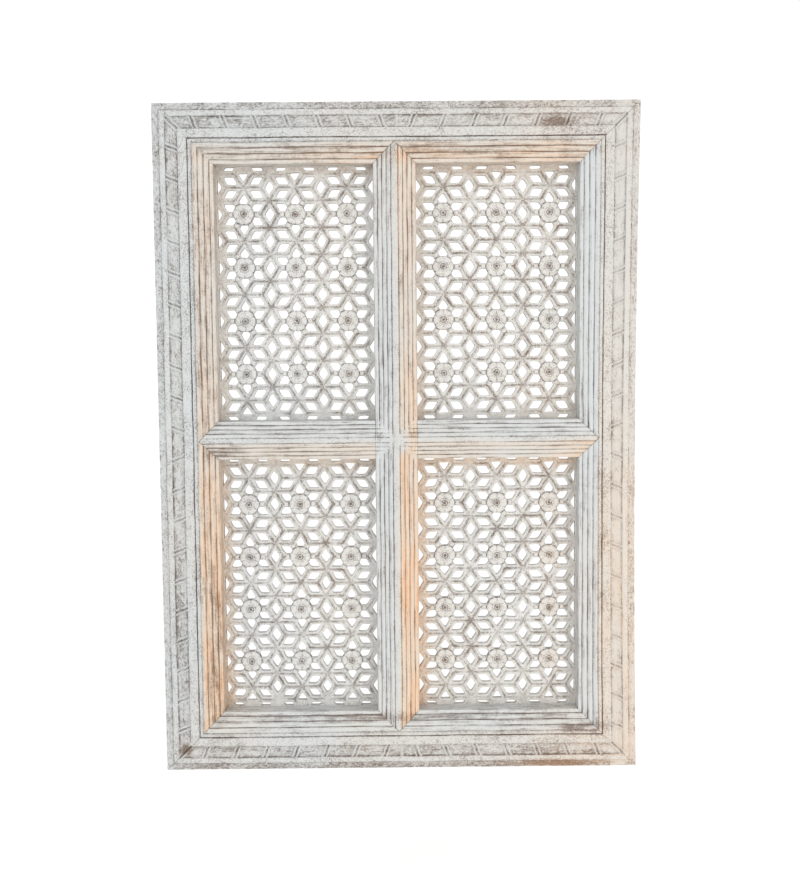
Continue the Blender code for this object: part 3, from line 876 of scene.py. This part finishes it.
def pierced_plate(half_w, half_h, pitch):
    """A pane's bars at full thickness; 'share' runs from 0 on a bar's line to 1 at a hole."""
    bm, opens = tiled_plate(half_w, half_h, pitch)
    number = bm.verts.layers.float.new("number")
    share = bm.verts.layers.float.new("share")
    plain = bm.verts.layers.float.new("plain")
    tiles = [face for face in bm.faces if face[opens]]
    for face in bm.faces:
        if not face[opens]:
            for corner in face.verts:
                corner[plain] = 1.0
    bmesh.ops.inset_individual(bm, faces=tiles, thickness=BAR_W / 2, use_even_offset=True)
    kinds = [face[opens] for face in tiles]
    for index, face in enumerate(tiles):
        for corner in face.verts:
            corner[share] = 1.0
            corner[plain] = 0.0
            corner[number] = index
    rings = [edge for edge in bm.edges
             if abs(edge.verts[0][share] - edge.verts[1][share]) < 0.5
             and any(face[opens] for face in edge.link_faces)]
    bmesh.ops.delete(bm, geom=tiles, context="FACES_ONLY")
    bmesh.ops.subdivide_edges(bm, edges=rings, cuts=HOLE_EDGE_CUTS)
    hole_corners = [corner for corner in bm.verts if corner[share] > 0.99]
    rings = [[] for _ in kinds]
    for corner in hole_corners:
        rings[round(corner[number])].append(corner)
    for kind, ring in zip(kinds, rings):
        blunt_hole(ring, kind, pitch)
    round_holes(hole_corners, pitch)
    bm.verts.layers.float.remove(number)
    share, plain = bm.verts.layers.float["share"], bm.verts.layers.float["plain"]
    bmesh.ops.translate(bm, verts=bm.verts, vec=(0.0, -LATTICE_BACK_SINK, 0.0))
    raised = bmesh.ops.extrude_face_region(bm, geom=list(bm.faces), use_keep_orig=True)["geom"]
    bmesh.ops.translate(bm, verts=corners_in(raised), vec=(0.0, -LATTICE_T, 0.0))
    level = -LATTICE_BACK_SINK - LATTICE_T / 2
    radial = [edge for edge in bm.edges
              if abs(edge.verts[0][share] - edge.verts[1][share]) > 0.5
              and all(corner.co.y < level for corner in edge.verts)]
    walls = [edge for edge in bm.edges
             if abs(edge.verts[0].co.y - edge.verts[1].co.y) > LATTICE_T / 2
             and edge.verts[0][share] > 0.99]
    bmesh.ops.subdivide_edges(bm, edges=radial, cuts=BAR_CUTS)
    bmesh.ops.subdivide_edges(bm, edges=walls, cuts=WALL_CUTS)
    return bm, share, plain


def add_block(bm, turn):
    """A small flat block, raised on a bar just outside a petal."""
    shape = Matrix.Diagonal((BLOCK_W, BLOCK_T, BLOCK_W, 1.0))
    reach = Vector((BLOCK_REACH, BLOCK_T / 2 - BLOCK_RISE, 0.0))
    matrix = Matrix.Rotation(-turn, 4, "Y") @ Matrix.Translation(reach) @ shape
    made = bmesh.ops.create_cube(bm, size=1.0, matrix=matrix)["verts"]
    edges = {edge for corner in made for edge in corner.link_edges}
    bevelled = bmesh.ops.bevel(bm, geom=list(edges), offset=BLOCK_BEVEL, segments=1, profile=0.5,
                               affect="EDGES", material=-1)
    layer = bm.verts.layers.float["bare"]
    for corner in bevelled["verts"]:
        corner[layer] = BLOCK_BARE if corner.co.y < -0.5 * MM else BLOCK_SIDE_BARE


def flower_mesh(pitch):
    """One carved flower: petals along the bars round a ringed centre, and its six blocks."""
    bm = bmesh.new()
    bmesh.ops.create_circle(bm, cap_ends=True, radius=FLOWER_R, segments=FLOWER_SIDES)
    disc = list(bm.faces)
    reach = FLOWER_R
    for ring in FLOWER_RINGS:
        bmesh.ops.inset_individual(bm, faces=disc, thickness=reach - ring * MM,
                                   use_even_offset=True)
        reach = ring * MM
    bmesh.ops.poke(bm, faces=disc)
    bmesh.ops.rotate(bm, verts=bm.verts, matrix=Matrix.Rotation(math.pi / 2, 3, "X"))
    rim = [edge for edge in bm.edges if edge.is_boundary]
    skirt = bmesh.ops.extrude_edge_only(bm, edges=rim)["geom"]
    bmesh.ops.translate(bm, verts=corners_in(skirt),
                        vec=(0.0, LATTICE_T - FLOWER_BACK_CLEAR, 0.0))
    bmesh.ops.holes_fill(bm, edges=[edge for edge in bm.edges if edge.is_boundary])
    places = places_of(bm)
    radius = np.hypot(places[:, 0], places[:, 2])
    turn = np.arctan2(places[:, 2], places[:, 0])
    front = places[:, 1] < NEAR
    rise, bare = on_curve(radius / MM, FLOWER_RISE), on_curve(radius / MM, FLOWER_BARE)
    parting = np.abs(np.sin(FLOWER_PETALS / 2 * turn + math.pi / 2)) * radius / 3
    outwards = np.clip((radius - PARTING_FROM) / (3 * MM), 0, 1)
    split = np.exp(-(parting / PARTING_W) ** 2) * outwards
    places[:, 1] -= np.where(front, (rise - PARTING_DEPTH * split) * MM, 0.0)
    at_rim = np.clip(radius / FLOWER_R, 0, 1) ** 4
    scallop = 1 - SCALLOP * at_rim * np.exp(-(parting / (3 * MM)) ** 2)
    places[:, 0] *= scallop
    places[:, 2] *= scallop
    put_places(bm, places)
    note(bm, "bare", np.where(front, bare + 0.40 * split, 0.5))
    slope = math.atan2(pitch.z / 2, pitch.x / 3)
    for bar in (0.0, slope, math.pi - slope, math.pi, math.pi + slope, -slope):
        add_block(bm, bar)
    mesh = bpy.data.meshes.new("flower")
    bm.to_mesh(mesh)
    bm.free()
    return mesh


def carve_bars(bm, share, plain, centres, seed):
    """Groove every bar along its line, round its edges and sink it round the flowers."""
    places = places_of(bm)
    across = np.array([corner[share] for corner in bm.verts])
    flat = np.array([corner[plain] for corner in bm.verts])
    face_y = -LATTICE_BACK_SINK - LATTICE_T
    front = places[:, 1] < face_y + NEAR
    back = places[:, 1] > -LATTICE_BACK_SINK - NEAR
    sink, bare = on_curve(across, BAR_SINK), on_curve(across, BAR_BARE)
    sink, bare = sink * (1 - 0.9 * flat), bare * (1 - 0.8 * flat) + 0.08 * flat
    nearest = np.full(len(places), 1.0)
    for centre in centres:
        gap = np.hypot(places[:, 0] - centre.x, places[:, 2] - centre.z)
        nearest = np.minimum(nearest, gap)
    ring = np.exp(-((nearest - FLOWER_R - 0.6 * MM) / (1.5 * MM)) ** 2)
    spots = places + (seed, 0.0, seed)
    pits = fuzz(spots, PANE_PIT_SIZE)
    drop = BAR_GROOVE * sink + FLOWER_MOAT * ring + PIT_DEPTH * (1 + pits)
    places[:, 1] += np.where(front, drop, 0.0)
    broken = 1 + RUN_WEAR * fuzz(spots, PANE_BREAK_SIZE, 8.8)
    bare = np.where(front, np.maximum(bare * broken, 0.55 * ring) + PIT_WEAR * pits,
                    np.where(back, BACK_BARE, HOLE_BARE))
    return places, bare + 0.10 * fuzz(spots, PANE_PATCH_SIZE)


def wander(places, centre, half_w, half_h, seed):
    """Hand-cut irregularity: shift the pattern a little, and nothing at the rim."""
    local = places - np.array(centre)
    room = np.minimum(half_w - np.abs(local[:, 0]), half_h - np.abs(local[:, 2]))
    fade = np.clip(room / (14 * MM) - 0.4, 0, 1)
    flat = places * (1.0, 0.0, 1.0)
    for axis, shift in ((0, 13.0), (2, 29.0)):
        broad = fuzz(flat, BROAD_SHIFT_SIZE, seed + shift)
        fine = fuzz(flat, FINE_SHIFT_SIZE, seed + shift + 3.0)
        places[:, axis] += fade * (BROAD_SHIFT * broad + FINE_SHIFT * fine) * MM
    return places


def make_lattice(name, seed, material):
    """A pierced pane: grooved star bars, flowers on every other star, blocks round them."""
    low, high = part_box(name)
    centre = (low + high) / 2
    centre.y = 0.0
    half_w, half_h = (high.x - low.x) / 2, (high.z - low.z) / 2
    sight_w, sight_h = half_w - REBATE_W + FIT_GAP, half_h - REBATE_W + FIT_GAP
    pitch = Vector((2 * (sight_w - SIDE_STRIP_W) / STAR_COLUMNS, 0.0,
                    2 * (sight_h - END_STRIP_W) / STAR_ROWS))
    bm, share, plain = pierced_plate(half_w, half_h, pitch)
    centres = [star_place(column, row, pitch) for column, row in stars() if is_flower(column, row)]
    flower = flower_mesh(pitch)
    places, bare = carve_bars(bm, share, plain, centres, seed)
    put_places(bm, places)
    note(bm, "bare", bare)
    face_y = -LATTICE_BACK_SINK - LATTICE_T
    for index, place in enumerate(centres):
        spread = 1 + 0.03 * noise.noise(Vector((index * 1.7, seed, 0.5)))
        matrix = Matrix.Translation(place + Vector((0.0, face_y, 0.0)))
        matrix = matrix @ Matrix.Diagonal((spread, 1.0, spread, 1.0))
        flower.transform(matrix)
        bm.from_mesh(flower)
        flower.transform(matrix.inverted())
    places = wander(places_of(bm) + np.array(centre), centre, half_w, half_h, seed)
    put_places(bm, places)
    note(bm, "bare", noted(bm, "bare") + blended(places, RUBBED))
    # Painted warm light on each pane's left and top walls, which face the warm light from the lower
    # right
    near_left = np.exp(-(np.clip(places[:, 0] - centre.x + sight_w, 0, 1) / (24 * MM)) ** 2)
    near_top = np.exp(-(np.clip(centre.z + sight_h - places[:, 2], 0, 1) / (20 * MM)) ** 2)
    note(bm, "warm", warm_light_and_tone(places, PANE_SIDE_WARM_LIGHT * np.maximum(near_left, near_top)))
    note(bm, "streaky", np.zeros(len(places)))
    for used in ("share", "plain"):
        bm.verts.layers.float.remove(bm.verts.layers.float[used])
    piece_from(bm, name, material)


def add_node(tree, kind, place, **inputs):
    """A shader node with some of its sockets set."""
    node = tree.nodes.new(kind)
    node.location = place
    for name, value in inputs.items():
        node.inputs[name.replace("_", " ")].default_value = value
    return node


def mix_colours(tree, place, factor, first, second):
    """A colour mix; each colour is three numbers or another node's socket."""
    node = tree.nodes.new("ShaderNodeMix")
    node.data_type = "RGBA"
    node.location = place
    colours = [socket for socket in node.inputs if socket.type == "RGBA"]
    for socket, value in zip(colours, (first, second)):
        if isinstance(value, tuple):
            socket.default_value = (*value, 1.0)
        else:
            tree.links.new(value, socket)
    tree.links.new(factor, node.inputs["Factor"])
    return next(socket for socket in node.outputs if socket.type == "RGBA")


def join(tree, place, operation, first, second, third=0.0):
    """A math node; each value is a number or another node's socket."""
    node = tree.nodes.new("ShaderNodeMath")
    node.operation = operation
    node.location = place
    for socket, value in zip(node.inputs, (first, second, third)):
        if isinstance(value, float):
            socket.default_value = value
        else:
            tree.links.new(value, socket)
    return node.outputs["Value"]


def ramp(tree, place, value, low, high):
    """A smooth step from 0 at the low value to 1 at the high one."""
    node = add_node(tree, "ShaderNodeMapRange", place, From_Min=low, From_Max=high)
    node.interpolation_type = "SMOOTHSTEP"
    tree.links.new(value, node.inputs["Value"])
    return node.outputs["Result"]


def grained_noise(tree, place, stretch, size, detail):
    """Noise on Object coordinates with features of one size, drawn out by the stretch."""
    where = add_node(tree, "ShaderNodeTexCoord", (place[0] - 400, place[1]))
    drawn = add_node(tree, "ShaderNodeMapping", (place[0] - 200, place[1]),
                     Scale=[1 / (size * share) for share in stretch])
    made = add_node(tree, "ShaderNodeTexNoise", place, Scale=1.0, Detail=detail, Roughness=0.6)
    tree.links.new(where.outputs["Object"], drawn.inputs["Vector"])
    tree.links.new(drawn.outputs["Vector"], made.inputs["Vector"])
    return made.outputs["Fac"]


def washed_wood(name, grain, cool=COOL_LIT_WASH, warm=WARM_LIT_WASH):
    """White wash over brown wood: fine speckle, streaks along the grain, bare in the cuts."""
    material = bpy.data.materials.new(name)
    material.use_nodes = True
    tree = material.node_tree
    shader = tree.nodes["Principled BSDF"]
    shader.inputs["Roughness"].default_value = 0.82
    shader.inputs["Specular IOR Level"].default_value = 0.25
    marks = {}
    for row, mark in enumerate(("bare", "warm", "streaky")):
        node = add_node(tree, "ShaderNodeAttribute", (-1800, -300 - 250 * row))
        node.attribute_name = mark
        marks[mark] = node.outputs["Fac"]

    short = [1 + 0.5 * share for share in grain]
    long = [1 + 22 * share for share in grain]
    speckle = grained_noise(tree, (-1400, 600), short, SPECKLE_W, 2.0)
    patches = grained_noise(tree, (-1400, 350), short, PATCH_W, 2.0)
    streaks = grained_noise(tree, (-1400, 100), long, STREAK_W, 3.0)
    threads = grained_noise(tree, (-1400, -150), long, THREAD_W, 2.0)

    share = join(tree, (-1200, 600), "MULTIPLY", marks["streaky"], STREAK_SHARE)
    spread = join(tree, (-1200, 450), "SUBTRACT", streaks, speckle)
    texture = join(tree, (-1000, 500), "MULTIPLY_ADD", spread, share, speckle)
    rough = join(tree, (-800, 450), "MULTIPLY_ADD", patches, PATCH_SHARE, texture)
    shown = join(tree, (-600, 400), "MULTIPLY_ADD", marks["bare"], BARE_SHARE, rough)
    mask = ramp(tree, (-400, 400), shown, *WOOD_SHOWS)
    # The 'warm' mark carries painted warm light: where it is high, peach streaks show
    warmest = ramp(tree, (-1000, -300), marks["warm"], *PEACH_SHOWS)
    thready = ramp(tree, (-1000, 0), threads, *THREAD_SHOWS)
    peach = join(tree, (-800, 0), "MULTIPLY", thready, warmest)

    # Painted warm and cool light: the wash runs from cool to warm to peach, the wood from ash to
    # tan
    paint = mix_colours(tree, (-400, 200), marks["warm"], cool, warm)
    paint = mix_colours(tree, (-200, 200), peach, paint, PEACH_LIT_WASH)
    wood = mix_colours(tree, (-400, -200), marks["warm"], ASH_WOOD, TAN_WOOD)
    colour = mix_colours(tree, (-200, 0), mask, paint, wood)
    tree.links.new(colour, shader.inputs["Base Color"])

    bump = add_node(tree, "ShaderNodeBump", (-200, -400), Strength=0.6, Distance=0.6 * MM)
    bump.invert = True
    tree.links.new(rough, bump.inputs["Height"])
    tree.links.new(bump.outputs["Normal"], shader.inputs["Normal"])
    return material


def soft_light(name, place, aim, size, power, colour):
    """A round area light, aimed at a place."""
    data = bpy.data.lights.new(name, "AREA")
    data.shape = "DISK"
    data.size = size
    data.energy = power
    data.color = colour
    lamp = put_in_scene(name, data)
    lamp.location = place
    lamp.rotation_euler = (Vector(aim) - Vector(place)).to_track_quat("-Z", "Y").to_euler()


def make_studio():
    """Pale floor, white surroundings, a cool key from the upper left, a warm fill opposite."""
    bm = bmesh.new()
    bmesh.ops.create_grid(bm, x_segments=1, y_segments=1, size=FLOOR_SIZE)
    bmesh.ops.translate(bm, verts=bm.verts, vec=(0.0, 0.0, FLOOR_Z))
    mesh = bpy.data.meshes.new("floor")
    bm.to_mesh(mesh)
    bm.free()
    floor = put_in_scene("floor", mesh)
    material = bpy.data.materials.new("pale_floor")
    material.use_nodes = True
    surface = material.node_tree.nodes["Principled BSDF"]
    surface.inputs["Base Color"].default_value = (0.98, 0.98, 0.98, 1.0)
    surface.inputs["Roughness"].default_value = 0.9
    mesh.materials.append(material)

    world = bpy.data.worlds.new("studio")
    world.use_nodes = True
    bpy.context.scene.world = world
    sky = world.node_tree.nodes["Background"]
    sky.inputs["Color"].default_value = (1.0, 1.0, 1.0, 1.0)
    sky.inputs["Strength"].default_value = SKY_STRENGTH
    soft_light("cool_key", (-1.6, -2.8, 1.9), (0, 0, 0), 1.8, 14.0, (0.90, 0.96, 1.0))
    soft_light("warm_fill", (1.6, -2.2, -0.3), (0.25, 0, -0.1), 1.2, 14.0, (1.0, 0.94, 0.87))


def make_camera():
    """The photograph's view: slightly above the middle, looking a little down."""
    data = bpy.data.cameras.new("view")
    data.lens = CAMERA_LENS
    data.sensor_width = 36.0
    camera = put_in_scene("view", data)
    turn = (Matrix.Rotation(math.radians(CAMERA_PAN), 4, "Z")
            @ Matrix.Rotation(math.radians(90 - CAMERA_DOWN), 4, "X")
            @ Matrix.Rotation(math.radians(CAMERA_ROLL), 4, "Z"))
    camera.matrix_world = Matrix.Translation(CAMERA_PLACE) @ turn
    bpy.context.scene.camera = camera


make_camera()
make_studio()
bpy.context.scene.view_settings.view_transform = "Standard"

across_wood = washed_wood("washed_across", (1, 0, 0))
upright_wood = washed_wood("washed_upright", (0, 0, 1))
# A lighter copy of the wash: painted light for the shaded panes
lit_pane_wood = washed_wood("washed_pane_lit", (0, 0, 0), PANE_COOL_LIT_WASH, PANE_WARM_LIT_WASH)

side, end = PANEL_W / 2, PANEL_H / 2
border_board("border_bottom", PANEL_W, MULLION_W, MULLION_X, 0.0, (0, 0, -end), 11.0,
             across_wood)
border_board("border_top", PANEL_W, MULLION_W, -MULLION_X, math.pi, (0, 0, end), 21.0,
             across_wood)
border_board("border_left", PANEL_H, RAIL_W, -RAIL_Z, math.pi / 2, (-side, 0, 0), 31.0,
             upright_wood)
border_board("border_right", PANEL_H, RAIL_W, RAIL_Z, -math.pi / 2, (side, 0, 0), 41.0,
             upright_wood, hollow=EDGE_HOLLOW)
make_mullion(upright_wood)
make_rail("rail_right", 1, 61.0, across_wood)
make_rail("rail_left", -1, 71.0, across_wood)

for seed, name in enumerate(("lattice_upper_left", "lattice_upper_right",
                             "lattice_lower_left", "lattice_lower_right")):
    make_lattice(name, 3.3 * seed + 0.7, lit_pane_wood)
